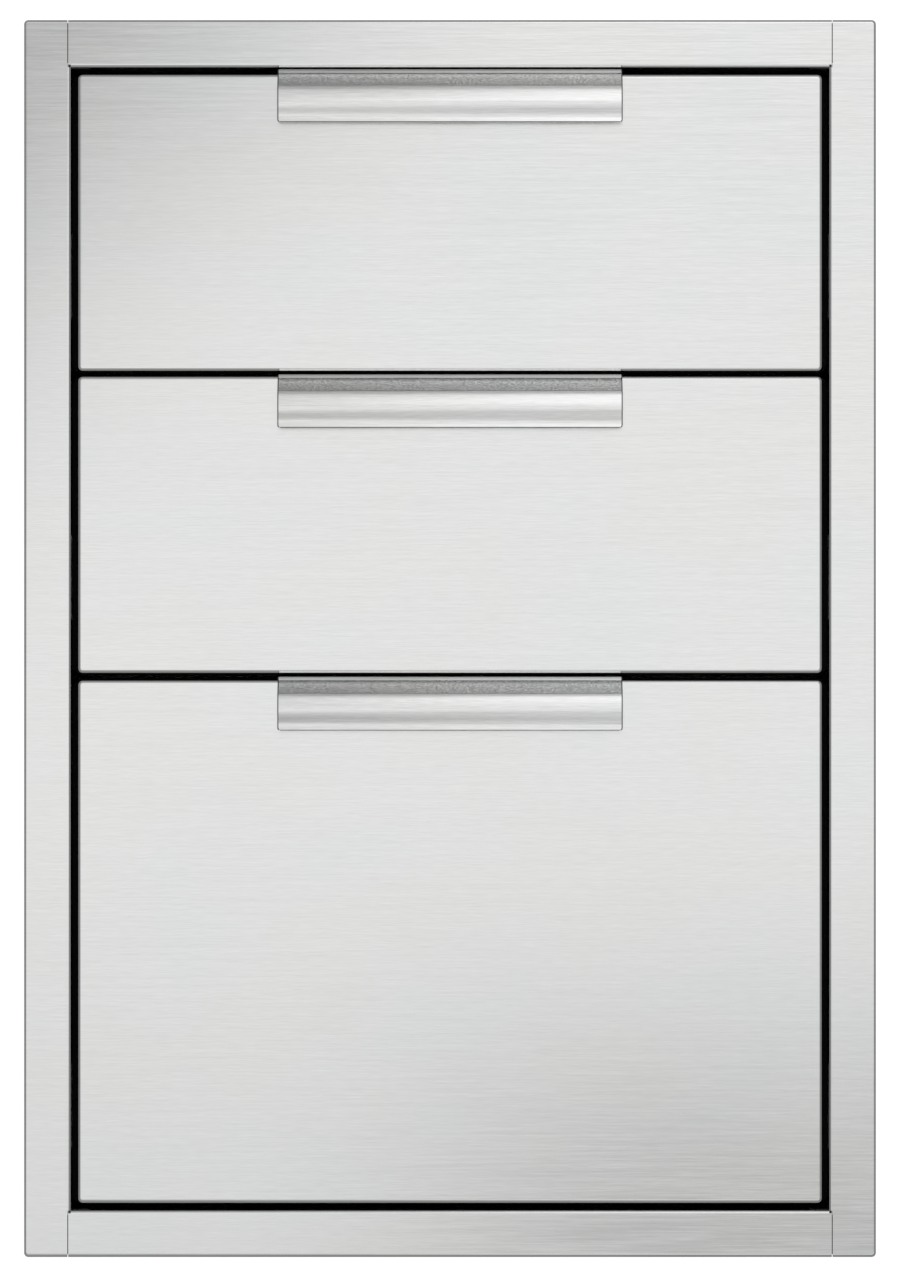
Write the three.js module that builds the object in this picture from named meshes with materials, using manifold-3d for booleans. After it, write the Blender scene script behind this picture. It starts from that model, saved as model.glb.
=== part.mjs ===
// Built-in outdoor kitchen drawer unit: a steel box with a face frame and three drawers.
// Millimetres, +Z up, fronts towards -Y, +X to the right as the fronts are seen.
// The origin is on the box's underside, in the plane of the frame's rear face, mid-width.

import * as THREE from 'three';
import { mergeVertices } from 'three/addons/utils/BufferGeometryUtils.js';
import Module from 'manifold-3d';

const wasm = await Module();
wasm.setup();

// Face frame
const stileWidth = 24.35;
const topRailHeight = 24.65;
const bottomRailHeight = 24.3;
const frameDepth = 19;
const frameSheet = 1.2;
const frameCornerRadius = 2.3;
const frameEdgeRadius = 2;
const rearLipWidth = 10;
const seamGap = 0.2;
const seamInset = 1.5;

// Drawer fronts, from the top down
const frontWidth = 388.3;
const frontHeights = [154.5, 154.6, 272.7];
const sideGap = 4;
const topGap = 4;
const gapsBelow = [3.2, 4.1, 4.1];
const frontSheet = 1.2;
const frontCornerRadius = 2.3;
const frontEdgeRadius = 2.2;
const linerRim = 10;
const linerPlay = 0.1;
const linerCornerRadius = 2;

// Rubber seal behind each front
const sealThickness = 3;
const sealSideReach = 2.6;
const sealEndReach = 1.2;
const sealWidth = 8;

// Handles
const handleWidth = 180;
const handleHeight = 28;
const handleSheet = 1.3;
const handleRises = [2.9, 1.3, 2.1];
const handleFlange = 9;
const handleFlangeFlat = 4.5;
const handleCrest = 2;
const handleTopRadius = 1.6;
const handleTopReach = 1.2;
const handleLedgeDrop = 2.2;
const handleSlopeDrop = 8.55;
const handleSlopeReach = 13.9;
const handleNoseRadius = 6.7;
const handleReach = 17.6;
const handleLipDrop = 16.5;
const handleWaistDrop = 23.8;
const handleWaistReach = 16.6;
const handleEndReach = 17.2;

// Box
const boxRearRoom = 47;
const boxSheet = 1.2;
const screwHoleRadius = 2.5;
const screwHoleSetback = 40;
const screwHoleHeightShares = [0.12, 0.5, 0.88];

// Trays
const traySheet = 1;
const trayBackInset = 1;
const trayFloorRise = 14;
const trayTopDrop = 34;
const hemThickness = 2.2;
const hemHeight = 8;

// Slides
const slideLength = 457;
const slideSetback = 4;
const slideHeight = 45.7;
const slideThickness = 12.7;
const slideSheet = 1.2;
const slideRise = 36;
const flangeStep = 1.4;
const ballDiameter = 3.4;
const ballPlay = 0.05;
const cageSheet = 0.6;
const cageLength = 200;
const webGap = 0.4;
const cageLipGap = 0.8;
const ballsInRow = 4;

// Faceting and cuts
const overrun = 5;
const cornerSteps = 3;
const edgeSteps = 3;
const bendSteps = 4;
const holeSides = 10;

// Places that follow from the sizes above
const sum = (values) => values.reduce((total, value) => total + value, 0);
const openingHalfWidth = frontWidth / 2 + sideGap;
const openingHeight = topGap + sum(frontHeights) + sum(gapsBelow);
const openingBottom = boxSheet + frameSheet;
const openingTop = openingBottom + openingHeight;
const frameHalfWidth = openingHalfWidth + stileWidth;
const frameBottom = openingBottom - bottomRailHeight;
const frameTop = openingTop + topRailHeight;
const seamX = openingHalfWidth + seamInset;
const faceY = -frameDepth;
const skinBackY = faceY + frameSheet;
const wallX = openingHalfWidth + frameSheet;
const boxHalfWidth = wallX + boxSheet;
const boxTop = openingTop + frameSheet + boxSheet;
const trayHalfWidth = wallX - slideThickness;
const slideRearY = slideSetback + slideLength;
const boxDepth = slideRearY + boxRearRoom;
const trayDepth = slideRearY - trayBackInset;

// Materials

function steel(name, color, roughness) {
  const material = new THREE.MeshStandardMaterial({ color, roughness, metalness: 1 });
  material.name = name;
  return material;
}

function rubber() {
  const material = new THREE.MeshStandardMaterial({ color: 0x111111, roughness: 0.85, metalness: 0 });
  material.name = 'rubber';
  return material;
}

const brushedSteel = () => steel('brushed_steel', 0xd2d4d3, 0.34);
const boxSteel = () => steel('box_steel', 0xb4b7b8, 0.42);
const slideSteel = () => steel('slide_steel', 0xa9adb2, 0.36);
const cageSteel = () => steel('cage_steel', 0x8d9095, 0.4);

// Solids

function solidFrom(geometry) {
  const bare = geometry.index ? geometry.toNonIndexed() : geometry.clone();
  bare.deleteAttribute('normal');
  bare.deleteAttribute('uv');
  const merged = mergeVertices(bare);
  const vertProperties = new Float32Array(merged.attributes.position.array);
  const triVerts = new Uint32Array(merged.index.array);
  return new wasm.Manifold(new wasm.Mesh({ numProp: 3, vertProperties, triVerts }));
}

function geometryFrom(solid) {
  const found = solid.getMesh();
  const geometry = new THREE.BufferGeometry();
  geometry.setAttribute('position', new THREE.BufferAttribute(found.vertProperties, 3));
  geometry.setIndex(new THREE.BufferAttribute(found.triVerts, 1));
  geometry.computeVertexNormals();
  return geometry;
}

function block(x, y, z) {
  const geometry = new THREE.BoxGeometry(x[1] - x[0], y[1] - y[0], z[1] - z[0]);
  geometry.translate((x[0] + x[1]) / 2, (y[0] + y[1]) / 2, (z[0] + z[1]) / 2);
  return solidFrom(geometry);
}

// An outline drawn across the front, X to the right and Z up, made solid from frontY to rearY
function frontal(outline, frontY, rearY) {
  const geometry = new THREE.ExtrudeGeometry(outline, {
    depth: rearY - frontY,
    bevelEnabled: false,
    curveSegments: cornerSteps,
  });
  geometry.rotateX(Math.PI / 2);
  geometry.translate(0, rearY, 0);
  return solidFrom(geometry);
}

// The same with its front edges rounded
function rounded(outline, frontY, rearY, radius, reach) {
  const geometry = new THREE.ExtrudeGeometry(outline, {
    depth: rearY - frontY,
    bevelThickness: radius,
    bevelSize: radius,
    bevelOffset: -radius,
    bevelSegments: edgeSteps,
    curveSegments: cornerSteps,
  });
  geometry.rotateX(Math.PI / 2);
  geometry.translate(0, rearY + radius, 0);
  return solidFrom(geometry).intersect(block([-reach, reach], [frontY - overrun, rearY], [-reach, reach]));
}

// An outline drawn from the side, Y to the rear and Z up, made solid along X
function sideways(points, fromX, toX) {
  const geometry = new THREE.ExtrudeGeometry(new THREE.Shape(points), {
    depth: toX - fromX,
    bevelEnabled: false,
  });
  const turn = new THREE.Matrix4().makeBasis(
    new THREE.Vector3(0, 1, 0),
    new THREE.Vector3(0, 0, 1),
    new THREE.Vector3(1, 0, 0),
  );
  geometry.applyMatrix4(turn);
  geometry.translate(fromX, 0, 0);
  return solidFrom(geometry);
}

// A rectangle in X and Z with round corners
function rectangle(halfWidth, low, high, radius, kind = THREE.Shape) {
  const path = new kind();
  if (radius === 0) {
    path.moveTo(-halfWidth, low);
    path.lineTo(halfWidth, low);
    path.lineTo(halfWidth, high);
    path.lineTo(-halfWidth, high);
    path.closePath();
    return path;
  }
  const quarter = Math.PI / 2;
  path.moveTo(-halfWidth + radius, low);
  path.lineTo(halfWidth - radius, low);
  path.absarc(halfWidth - radius, low + radius, radius, -quarter, 0, false);
  path.lineTo(halfWidth, high - radius);
  path.absarc(halfWidth - radius, high - radius, radius, 0, quarter, false);
  path.lineTo(-halfWidth + radius, high);
  path.absarc(-halfWidth + radius, high - radius, radius, quarter, 2 * quarter, false);
  path.lineTo(-halfWidth, low + radius);
  path.absarc(-halfWidth + radius, low + radius, radius, 2 * quarter, 3 * quarter, false);
  return path;
}

const unit = new THREE.Group();

function add(name, solid, material) {
  const mesh = new THREE.Mesh(geometryFrom(solid), material);
  mesh.name = name;
  unit.add(mesh);
}

// Face frame: one folded shell, parted into two stiles and two rails at the seams

function frameShell() {
  const outline = rectangle(frameHalfWidth, frameBottom, frameTop, frameCornerRadius);
  outline.holes.push(rectangle(openingHalfWidth, openingBottom, openingTop, 0, THREE.Path));
  const body = rounded(outline, faceY, 0, frameEdgeRadius, frameTop + overrun);

  const inside = rectangle(frameHalfWidth - frameSheet, frameBottom + frameSheet, frameTop - frameSheet, 0);
  inside.holes.push(rectangle(wallX, openingBottom - frameSheet, openingTop + frameSheet, 0, THREE.Path));
  const hollow = frontal(inside, skinBackY, -frameSheet);

  const lip = frameSheet + rearLipWidth;
  const rear = rectangle(frameHalfWidth - lip, frameBottom + lip, frameTop - lip, 0);
  rear.holes.push(rectangle(wallX, openingBottom - frameSheet, openingTop + frameSheet, 0, THREE.Path));
  const rearOpening = frontal(rear, -frameSheet - overrun, overrun);
  return body.subtract(hollow).subtract(rearOpening);
}

function addFaceFrame() {
  const shell = frameShell();
  const allY = [faceY - overrun, overrun];
  const stileEdge = seamX + seamGap / 2;
  const railEdge = seamX - seamGap / 2;
  const outside = frameHalfWidth + overrun;
  for (const [name, side] of [['left_stile', -1], ['right_stile', 1]]) {
    const outer = [side * stileEdge, side * outside].sort((a, b) => a - b);
    const inner = [side * openingHalfWidth, side * outside].sort((a, b) => a - b);
    const column = block(outer, allY, [frameBottom - overrun, frameTop + overrun]);
    const jamb = block(inner, allY, [openingBottom, openingTop]);
    add(name, shell.intersect(column.add(jamb)), brushedSteel());
  }
  const rails = [
    ['bottom_rail', [frameBottom - overrun, openingBottom], openingBottom - seamInset, overrun],
    ['top_rail', [openingTop, frameTop + overrun], openingTop - overrun, overrun + seamInset],
  ];
  for (const [name, z, notchLow, notchHeight] of rails) {
    let rail = shell.intersect(block([-railEdge, railEdge], allY, z));
    for (const side of [-1, 1]) {
      const notchX = [side * openingHalfWidth, side * (seamX + overrun)].sort((a, b) => a - b);
      rail = rail.subtract(block(notchX, allY, [notchLow, notchLow + notchHeight]));
    }
    add(name, rail, brushedSteel());
  }
}

// Box behind the frame

function screwHole(side, share) {
  const geometry = new THREE.CylinderGeometry(screwHoleRadius, screwHoleRadius, 2 * overrun, holeSides);
  geometry.rotateZ(Math.PI / 2);
  geometry.translate(side * (wallX + boxSheet / 2), screwHoleSetback, boxTop * share);
  return solidFrom(geometry);
}

function addBox() {
  const allY = [skinBackY, boxDepth];
  const inner = [boxSheet, boxTop - boxSheet];
  for (const [name, side] of [['left_side', -1], ['right_side', 1]]) {
    const x = [side * wallX, side * boxHalfWidth].sort((a, b) => a - b);
    let panel = block(x, allY, inner);
    for (const share of screwHoleHeightShares) {
      panel = panel.subtract(screwHole(side, share));
    }
    add(name, panel, boxSteel());
  }
  add('floor_panel', block([-boxHalfWidth, boxHalfWidth], allY, [0, boxSheet]), boxSteel());
  add('ceiling_panel', block([-boxHalfWidth, boxHalfWidth], allY, [boxTop - boxSheet, boxTop]), boxSteel());
  add('back_panel', block([-wallX, wallX], [boxDepth - boxSheet, boxDepth], inner), boxSteel());
}

// Drawer front, liner and seal

function addFront(number, bottom, top) {
  const half = frontWidth / 2;
  const outline = rectangle(half, bottom, top, frontCornerRadius);
  const body = rounded(outline, faceY, 0, frontEdgeRadius, frameTop + overrun);
  const inside = rectangle(half - frontSheet, bottom + frontSheet, top - frontSheet, 0);
  const hollow = frontal(inside, faceY + frontSheet, overrun);
  add(`front_skin_${number}`, body.subtract(hollow), brushedSteel());

  const edge = frontSheet + linerPlay;
  const linerOutline = rectangle(half - edge, bottom + edge, top - edge, linerCornerRadius);
  const pan = frontal(linerOutline, -linerRim, 0);
  const rim = edge + frontSheet;
  const recess = rectangle(half - rim, bottom + rim, top - rim, 0);
  add(`front_liner_${number}`, pan.subtract(frontal(recess, -linerRim - overrun, -frontSheet)), boxSteel());

  const ring = rectangle(half + sealSideReach, bottom - sealEndReach, top + sealEndReach, frontCornerRadius);
  ring.holes.push(rectangle(half - sealWidth + sealSideReach, bottom + sealWidth, top - sealWidth, 0, THREE.Path));
  add(`seal_${number}`, frontal(ring, 0, sealThickness), rubber());
}

// Handle: a folded strip that lies on the front's top edge and hangs in front of it.
// The outer surface is drawn as reach in front of the face and drop below the handle's top.

function arc(centreReach, centreDrop, radius, fromAngle, toAngle) {
  const points = [];
  for (let step = 0; step <= bendSteps; step += 1) {
    const angle = fromAngle + ((toAngle - fromAngle) * step) / bendSteps;
    points.push([centreReach + radius * Math.sin(angle), centreDrop - radius * Math.cos(angle)]);
  }
  return points;
}

function handlePath(rise) {
  const quarter = Math.PI / 2;
  const slope = Math.atan2(handleSlopeDrop - handleLedgeDrop, handleSlopeReach - handleTopReach);
  return [
    [-handleFlange, rise - handleSheet],
    [-handleFlangeFlat, rise - handleSheet],
    [-handleCrest, 0],
    ...arc(handleTopReach - handleTopRadius, handleTopRadius, handleTopRadius, 0, quarter),
    [handleTopReach, handleLedgeDrop],
    ...arc(
      handleReach - handleNoseRadius,
      handleSlopeDrop + handleNoseRadius * Math.cos(slope),
      handleNoseRadius,
      slope,
      quarter,
    ),
    [handleReach, handleLipDrop],
    [handleWaistReach, handleWaistDrop],
    [handleEndReach, handleHeight],
  ];
}

// The path moved sideways by a distance, with each corner mitred
function offsetPath(path, distance) {
  return path.map((point, index) => {
    const before = path[Math.max(index - 1, 0)];
    const after = path[Math.min(index + 1, path.length - 1)];
    const into = new THREE.Vector2(point[0] - before[0], point[1] - before[1]).normalize();
    const out = new THREE.Vector2(after[0] - point[0], after[1] - point[1]).normalize();
    if (index === 0) {
      into.copy(out);
    }
    if (index === path.length - 1) {
      out.copy(into);
    }
    const normal = new THREE.Vector2(-into.y - out.y, into.x + out.x).normalize();
    const stretch = distance / (-normal.x * into.y + normal.y * into.x);
    return [point[0] + normal.x * stretch, point[1] + normal.y * stretch];
  });
}

function addHandle(number, frontTop, rise) {
  const outer = handlePath(rise);
  const inner = offsetPath(outer, handleSheet);
  inner[inner.length - 1] = [handleEndReach - handleSheet, handleHeight];
  const place = ([reach, drop]) => new THREE.Vector2(faceY - reach, frontTop + rise - drop);
  const points = [...outer, ...inner.reverse()].map(place);
  add(`handle_${number}`, sideways(points, -handleWidth / 2, handleWidth / 2), brushedSteel());
}

// Tray

function addTray(number, low, high) {
  const half = trayHalfWidth;
  const hemX = half - hemThickness;
  const hemLow = high - hemHeight;
  const wall = half - traySheet;
  const floor = low + traySheet;
  const right = [[half, low], [half, high], [hemX, high], [hemX, hemLow], [wall, hemLow], [wall, floor]];
  const left = right.map(([x, z]) => [-x, z]).reverse();
  const channel = new THREE.Shape([...right, ...left].map(([x, z]) => new THREE.Vector2(x, z)));
  const body = frontal(channel, 0, trayDepth);
  add(`tray_${number}`, body.add(block([-half, half], [0, traySheet], [low, high])), boxSteel());

  const rightEdge = [[wall, floor], [wall, hemLow], [hemX, hemLow], [hemX, high]];
  const leftEdge = rightEdge.map(([x, z]) => [-x, z]).reverse();
  const outline = new THREE.Shape([...rightEdge, ...leftEdge].map(([x, z]) => new THREE.Vector2(x, z)));
  const back = frontal(outline, trayDepth - traySheet, trayDepth);
  const hem = block([-hemX, hemX], [trayDepth - hemThickness, trayDepth], [hemLow, high]);
  add(`tray_back_${number}`, back.add(hem), boxSteel());
}

// Slides: nested channels with a cage of balls in each race. Depth is measured from the box's wall.

const ballRace = ballDiameter + 2 * ballPlay;
const outerCageWeb = slideSheet + webGap;
const middleWeb = outerCageWeb + cageSheet + webGap;
const innerCageWeb = middleWeb + slideSheet + webGap;
const innerTip = innerCageWeb + cageSheet + webGap;
const middleHalfHeight = slideHeight / 2 - slideSheet - ballRace;
const innerHalfHeight = middleHalfHeight - slideSheet - ballRace;
const middleReach = slideThickness - flangeStep;
const cabinetReach = middleReach - flangeStep;

function channelSolid(side, centreZ, web, webEnd, tip, halfHeight, sheet, fromY, toY) {
  const points = [
    [web, -halfHeight],
    [tip, -halfHeight],
    [tip, sheet - halfHeight],
    [webEnd, sheet - halfHeight],
    [webEnd, halfHeight - sheet],
    [tip, halfHeight - sheet],
    [tip, halfHeight],
    [web, halfHeight],
  ];
  const place = ([depth, height]) => new THREE.Vector2(side * (wallX - depth), centreZ + height);
  return frontal(new THREE.Shape(points.map(place)), fromY, toY);
}

function cageSolid(side, centreZ, web, tip, raceCentre) {
  const fromY = slideSetback + (slideLength - cageLength) / 2;
  const toY = fromY + cageLength;
  const halfHeight = raceCentre + cageSheet / 2;
  let cage = channelSolid(side, centreZ, web, web + cageSheet, tip, halfHeight, cageSheet, fromY, toY);
  const ballDepth = (web + cageSheet + tip) / 2;
  for (let place = 0; place < ballsInRow; place += 1) {
    const y = fromY + ((place + 1 / 2) * cageLength) / ballsInRow;
    for (const end of [-1, 1]) {
      const ball = new THREE.OctahedronGeometry(ballDiameter / 2, 1);
      ball.translate(side * (wallX - ballDepth), y, centreZ + end * raceCentre);
      cage = cage.add(solidFrom(ball));
    }
  }
  return cage;
}

function addSlide(number, sideName, side, centreZ) {
  const fromY = slideSetback;
  const toY = slideRearY;
  const label = `${number}_${sideName}`;
  const member = (web, webEnd, tip, halfHeight) =>
    channelSolid(side, centreZ, web, webEnd, tip, halfHeight, slideSheet, fromY, toY);

  add(`slide_cabinet_${label}`, member(0, slideSheet, cabinetReach, slideHeight / 2), slideSteel());
  const middle = member(middleWeb, middleWeb + slideSheet, middleReach, middleHalfHeight);
  add(`slide_middle_${label}`, middle, slideSteel());
  const inner = member(slideThickness, slideThickness - slideSheet, innerTip, innerHalfHeight);
  add(`slide_drawer_${label}`, inner, slideSteel());

  const outerRace = middleHalfHeight + ballRace / 2;
  const outerCage = cageSolid(side, centreZ, outerCageWeb, cabinetReach - cageLipGap, outerRace);
  add(`cage_outer_${label}`, outerCage, cageSteel());
  const innerRace = innerHalfHeight + ballRace / 2;
  const innerCage = cageSolid(side, centreZ, innerCageWeb, middleReach - cageLipGap, innerRace);
  add(`cage_inner_${label}`, innerCage, cageSteel());
}

// The unit

addFaceFrame();
addBox();

let top = openingTop - topGap;
frontHeights.forEach((height, index) => {
  const number = index + 1;
  const bottom = top - height;
  const trayLow = bottom + trayFloorRise;
  addFront(number, bottom, top);
  addHandle(number, top, handleRises[index]);
  addTray(number, trayLow, top - trayTopDrop);
  addSlide(number, 'left', -1, trayLow + slideRise);
  addSlide(number, 'right', 1, trayLow + slideRise);
  top = bottom - gapsBelow[index];
});

export default unit;
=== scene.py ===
# Looks of a built-in outdoor kitchen drawer unit: brushed steel face frame and drawer fronts,
# hooded handles, folded trays on ball slides in a sheet box, and a plain studio around it.
# Metres, +Z up, the fronts face -Y.

import math

import bmesh
import bpy
from mathutils import Matrix, Vector

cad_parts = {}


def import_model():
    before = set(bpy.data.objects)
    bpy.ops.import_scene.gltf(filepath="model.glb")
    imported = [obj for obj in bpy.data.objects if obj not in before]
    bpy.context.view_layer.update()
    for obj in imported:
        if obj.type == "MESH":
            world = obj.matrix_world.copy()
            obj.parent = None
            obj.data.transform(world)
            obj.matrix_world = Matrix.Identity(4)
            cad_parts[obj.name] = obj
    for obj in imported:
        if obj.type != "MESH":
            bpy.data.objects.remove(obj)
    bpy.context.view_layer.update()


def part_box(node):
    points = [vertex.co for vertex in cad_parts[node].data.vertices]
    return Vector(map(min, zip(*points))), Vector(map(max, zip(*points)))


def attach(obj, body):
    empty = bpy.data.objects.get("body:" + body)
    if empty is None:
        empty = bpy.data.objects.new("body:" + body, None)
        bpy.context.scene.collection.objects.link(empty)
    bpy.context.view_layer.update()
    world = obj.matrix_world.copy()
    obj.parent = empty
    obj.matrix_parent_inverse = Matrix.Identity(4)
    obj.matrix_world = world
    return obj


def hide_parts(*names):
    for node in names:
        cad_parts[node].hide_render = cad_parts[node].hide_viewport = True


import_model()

MM = 0.001
DRAWERS = (1, 2, 3)
SIDES = {"left": -1, "right": 1}

# Sheet and bends. The bent edge of the visible sheet turns to the side wall in a small round. From
# there to the flat its lean is given by pairs of distance from the edge in millimetres and degrees.
SHEET = 1.2 * MM
TRAY_SHEET = 1.0 * MM
CORNER_RADIUS = 2.3 * MM
BEND_ROUND = 0.25
BEND_LEAN = 36
BEND_LEANS = ((0.45, 30), (0.9, 25), (1.2, 5), (1.45, 1), (1.9, 0))
LOWER_STRETCH = 1.3
BEND_RADIUS = 1.6 * MM
REAR_LIP = 10 * MM
SEAM_INSET = 1.5 * MM
SEAM_GAP = 0.4 * MM
SEAM_ROUNDING = 0.22 * MM
BURR = 0.2 * MM
SUPPORT = 0.4 * MM
TINY = 0.02 * MM
MERGE = TINY / 10
FAR = 1.0
CORNER_STEPS = 8
EDGE_STEPS = 7
BEND_STEPS = 5

# Plates behind the seams of the frame, and black strips in front of them that paint the seams' shade
PLATE_REACH = 14 * MM
PLATE_PLAY = 0.6 * MM
SEAM_SHADE_REACH = 3 * MM
SEAM_SHADE_THICKNESS = 0.4 * MM

# Liner and seal behind each front
LINER_RIM = 10 * MM
LINER_PLAY = 1.3 * MM
SEAL_INNER = -5.4 * MM
SEAL_SIDE_REACH = 3.85 * MM
SEAL_END_REACH = 1.3 * MM
SEAL_BULB = 1.4 * MM
SEAL_MIDDLE = 1.5 * MM
SEAL_WEB = 1.3 * MM
SEAL_CORNER = 2.5 * MM
SEAL_ARC_START = -80
SEAL_ARC = 220

# Handle section, in millimetres. After the flange the outer surface is given by pairs of
# drop below the handle's top and lean back from upright in degrees.
HANDLE_SHEET = 1.3
HANDLE_FLANGE = (-9, -4.5)
HANDLE_CREST = -2
HANDLE_TOP_REACH = 0.1
HANDLE_HOOD = ((0, 80), (0.1, 45), (0.35, 30), (0.9, 24), (1.9, 20))
HANDLE_UNDERCUT = 0.5
HANDLE_HOOD_INSIDE = -0.05
HANDLE_SLOPE = ((1.9, 64.5), (8.55, 64.5), (8.9, 28), (9.7, 23), (10.5, 18), (11.5, 14), (13, 11.5),
                (15, 9.5), (16.4, 6), (17.4, 0), (18.3, -5), (19.5, -11), (21, -15), (22.3, -15.5),
                (23.4, -13), (24.5, -6), (25.5, 3), (26.3, 8), (27.6, 10.5), (27.7, -30), (28, -30))
HANDLE_STEPS = 4
HANDLE_CORNER = 1.5 * MM
HANDLE_CHAMFER = 0.55 * MM
# Height of the band along the handle's bottom edge that gets the painted shade outline
HANDLE_FOOT = 0.35 * MM
HANDLE_TOP_LEAN = 0.7

# Trays
TRAY_BEND = 2.0 * MM
TRAY_CORNER = 3.0 * MM
HEM = 2.2 * MM
HEM_HEIGHT = 8 * MM
BACK_FLANGE = 12 * MM

# Box panels
PANEL_FLANGE = 12 * MM
BEAD_HALF = 9 * MM
BEAD_RISE = 1.6 * MM
BEAD_PLACES = (-0.11, 0.0, 0.11)
BEAD_MARGIN = 30 * MM
BACK_INSET = 34 * MM
BACK_RECESS = 1.6 * MM
HOLE_RADIUS = 2.5 * MM
HOLE_Y = 40 * MM
HOLE_SHARES = (0.12, 0.5, 0.88)
WELD_RADIUS = 2.2 * MM
WELD_RISE = 0.14 * MM
WELD_PITCH = 55 * MM
WELD_EDGE = 6 * MM
WELD_START_Y = 20 * MM

# Slides: section points as depth from the box's wall and height above the middle, in millimetres.
# A slot a little longer than it is high is a round hole.
CABINET_SECTION = ((9.9, 21.4), (8.6, 22.3), (7.2, 22.75), (5.65, 22.85), (3.6, 22.75), (1.7, 22.2),
                   (0.5, 21.1), (0.0, 19.6))
MIDDLE_SECTION = ((11.3, 17.5), (10.8, 17.95), (10.0, 18.15), (4.9, 18.15), (3.7, 17.8), (2.9, 17.0),
                  (2.6, 15.9))
DRAWER_SECTION = ((5.2, 12.8), (5.7, 13.25), (6.5, 13.45), (10.6, 13.45), (11.7, 13.1), (12.4, 12.3),
                  (12.7, 11.2))
OUTER_CAGE_SECTION = ((9.1, 19.9), (8.6, 20.2), (2.8, 20.2), (1.9, 19.8), (1.6, 18.9))
INNER_CAGE_SECTION = ((10.5, 15.2), (10.0, 15.5), (5.4, 15.5), (4.5, 15.1), (4.2, 14.2))
SLIDE_SHEET = 1.2
CAGE_SHEET = 0.6
OUTER_BALL = (5.65, 19.9)
INNER_BALL = (7.65, 15.2)
BALL_RADIUS = 1.7
BALL_COUNT = 12
SLOT_SHARES = (0.06, 0.2, 0.36, 0.52, 0.68, 0.84, 0.95)
SLOT_HALF_HEIGHT = 2.5
ROUND_HOLE = 2.51
SLOT_HALF_LENGTHS = (ROUND_HOLE, 6, ROUND_HOLE, 8, ROUND_HOLE, 6, ROUND_HOLE)
WINDOW_SHARES = (0.1, 0.3, 0.5, 0.7, 0.9)
WINDOW_HALF = (14, 9)
CUTTER_DEPTHS = (-2 * MM, 20 * MM)
SCREW_Y = (0.075, 0.235, 0.395)
FRONT_SCREW_X = (-0.14, 0.14)
FRONT_SCREW_MARGIN = 3 * HEM_HEIGHT

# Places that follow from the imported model
stile_low, stile_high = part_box("left_stile")
FACE_Y = stile_low.y
FRAME_HALF = -stile_low.x
FRAME_LOW = stile_low.z
FRAME_HIGH = stile_high.z
OPENING_HALF = -stile_high.x
OPENING_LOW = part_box("bottom_rail")[1].z
OPENING_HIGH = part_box("top_rail")[0].z
SEAM_X = OPENING_HALF + SEAM_INSET
WALL_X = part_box("right_side")[0].x

# Studio. Heights in the lamps' patterns are measured from the camera's height.
CAMERA_DISTANCE = 8.0
CAMERA_END = 100
VIEW_HEIGHT = 0.6675
VIEW_DROP = 0.2 * MM
VIEW_Z = (FRAME_LOW + FRAME_HIGH) / 2 - VIEW_DROP
SENSOR = 36.0
KEY_DISTANCE = 1.28
KEY_SIZE = (2.8, 2.4)
KEY_RISE = 0.2
KEY_LEVEL = 0.50
DIAGONAL = 0.7071
ROOM_LEVEL = 0.26
TOP_SIZE = (1.8, 1.3)
TOP_PLACE = (0, -0.6, 1.75)
FLOOR_PLACE = (0, 1.0, -0.9)
FLOOR_RADIUS = 1.6
FLOOR_GLOW = 0.55
FLOOR_TONE = 0.88
FLOOR_ROUGHNESS = 0.9
FLOOR_FADE = (0.4, 0.98)
FLOOR_SIDES = 96


# Meshes

def link(obj):
    bpy.context.scene.collection.objects.link(obj)
    return obj


def smooth(obj, angle=35):
    obj.data.shade_smooth()
    obj.data.set_sharp_from_angle(angle=math.radians(angle))
    return obj


def object_from(name, bm):
    bmesh.ops.remove_doubles(bm, verts=bm.verts, dist=MERGE)
    bmesh.ops.recalc_face_normals(bm, faces=bm.faces)
    mesh = bpy.data.meshes.new(name)
    bm.to_mesh(mesh)
    bm.free()
    return smooth(link(bpy.data.objects.new(name, mesh)))


def add_rings(bm, rings, closed=False):
    """Joins rings of as many points each into one skin, capped unless it closes on itself."""
    made = [[bm.verts.new(point) for point in ring] for ring in rings]
    pairs = list(zip(made, made[1:]))
    if closed:
        pairs.append((made[-1], made[0]))
    for one, two in pairs:
        for place in range(len(one)):
            after = (place + 1) % len(one)
            bm.faces.new((one[place], one[after], two[after], two[place]))
    if not closed:
        bm.faces.new(made[0])
        bm.faces.new(reversed(made[-1]))


def rings_piece(name, rings, closed=False):
    bm = bmesh.new()
    add_rings(bm, rings, closed)
    return object_from(name, bm)


def rounded(low_x, high_x, low, high, radius):
    """Points of a rectangle with round corners."""
    radius = max(radius, 0)
    corners = (
        (high_x - radius, low + radius, -90),
        (high_x - radius, high - radius, 0),
        (low_x + radius, high - radius, 90),
        (low_x + radius, low + radius, 180),
    )
    points = []
    for x, z, start in corners:
        for step in range(CORNER_STEPS + 1):
            angle = math.radians(start + 90 * step / CORNER_STEPS)
            points.append((x + radius * math.cos(angle), z + radius * math.sin(angle)))
    return points


def upright_ring(half, low, high, radius, y):
    return [Vector((x, y, z)) for x, z in rounded(-half, half, low, high, radius)]


def flat_ring(half, near, rear, radius, z):
    return [Vector((x, y, z)) for x, y in rounded(-half, half, near, rear, radius)]


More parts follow.
